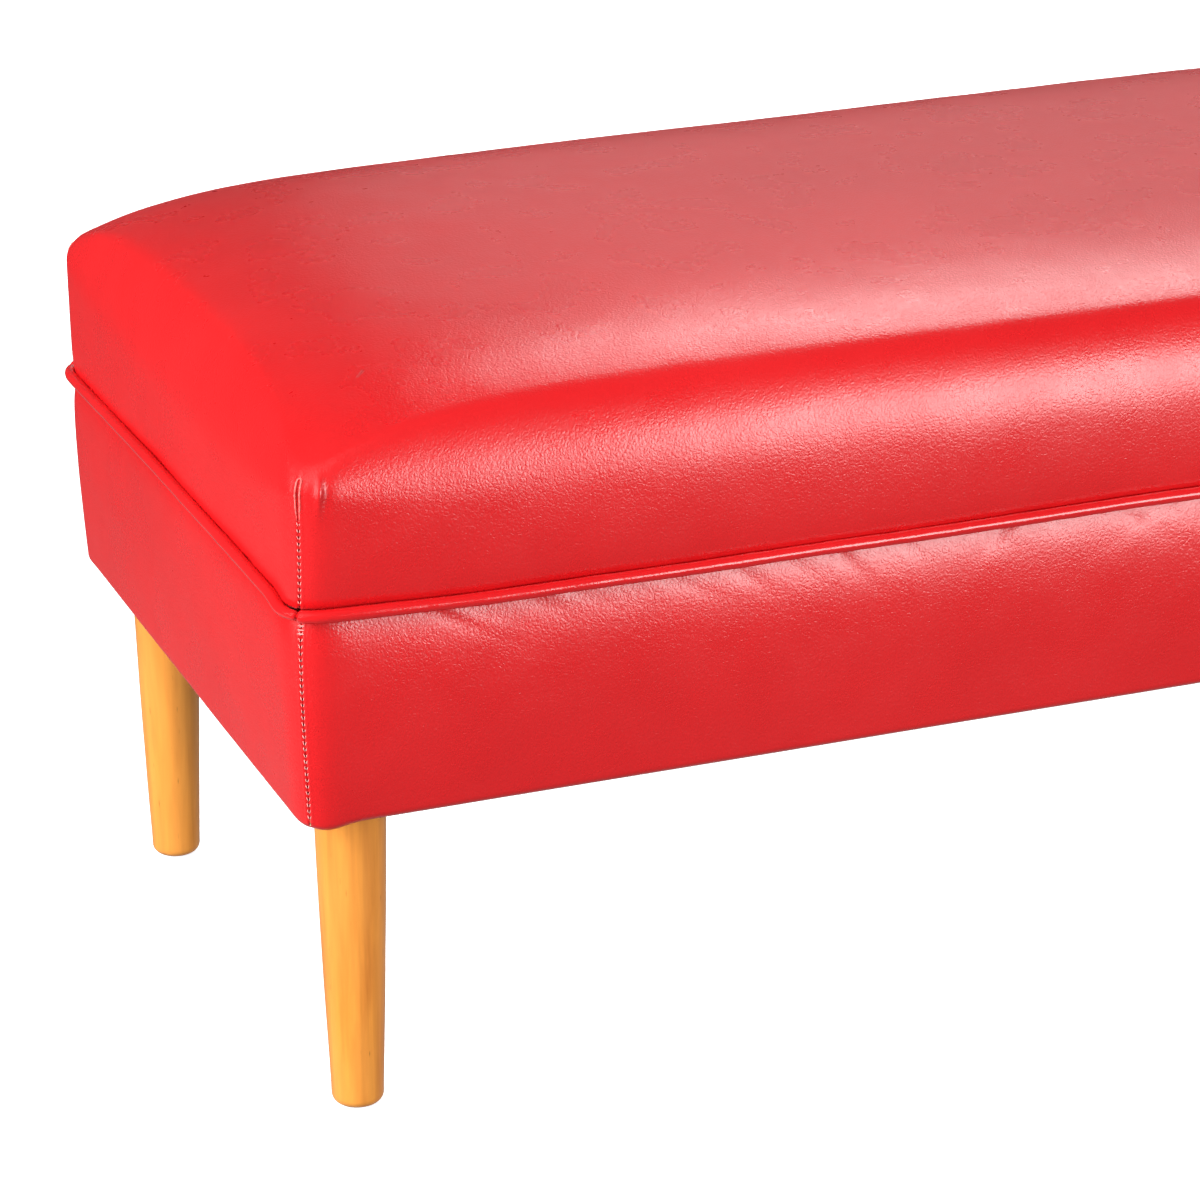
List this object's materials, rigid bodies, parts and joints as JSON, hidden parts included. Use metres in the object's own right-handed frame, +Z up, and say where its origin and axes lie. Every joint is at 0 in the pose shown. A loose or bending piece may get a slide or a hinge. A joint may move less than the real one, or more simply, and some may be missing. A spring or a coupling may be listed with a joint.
{
  "type": "upholstered bench",
  "caption": "Backless upholstered bench: a crowned red faux-leather seat with a welted seam over a padded lower band, on round tapered wooden legs.",
  "frame": {"origin": "on the floor, at the centre of the bench's footprint", "axes": "+X along the length to the right, the front faces -Y, +Z up"},
  "size_m": [1.0154, 0.4214, 0.3937],
  "materials": {
    "red_leather": "satin-gloss faux leather with a fine grain",
    "leg_wood": "clear honey lacquer on fine-pored hardwood",
    "frame_wood": "sawn softwood, unfinished",
    "zinc_steel": "zinc-plated",
    "glide_nylon": "matt nylon",
    "foam": "open-cell seat foam",
    "wadding": "white polyester fibre",
    "webbing": "woven jute webbing",
    "black_cloth": "black non-woven cloth",
    "seam_thread": "pale pink sewing thread"
  },
  "bodies": {
    "root": {"leg_front_left": "leg_wood", "leg_front_right": "leg_wood", "leg_back_left": "leg_wood", "leg_back_right": "leg_wood", "hanger_bolts": "zinc_steel", "tee_nuts": "zinc_steel", "foot_glides": "glide_nylon", "corner_block_front_left": "frame_wood", "corner_block_front_right": "frame_wood", "corner_block_back_left": "frame_wood", "corner_block_back_right": "frame_wood", "front_rail": "frame_wood", "back_rail": "frame_wood", "left_rail": "frame_wood", "right_rail": "frame_wood", "cross_rail_left": "frame_wood", "cross_rail_right": "frame_wood", "rail_dowels": "frame_wood", "block_screws": "zinc_steel", "webbing_crosswise": "webbing", "webbing_lengthwise": "webbing", "webbing_staples": "zinc_steel", "deck_cloth": "black_cloth", "seat_foam": "foam", "seat_wadding": "wadding", "seat_cover": "red_leather", "welt_cover": "red_leather", "welt_cord": "wadding", "band_padding_front": "foam", "band_padding_right": "foam", "band_padding_back": "foam", "band_padding_left": "foam", "band_front": "red_leather", "band_right": "red_leather", "band_back": "red_leather", "band_left": "red_leather", "corner_stitches": "seam_thread", "cover_staples": "zinc_steel", "dust_cover": "black_cloth", "dust_cover_staples": "zinc_steel"}
  },
  "joints": []
}
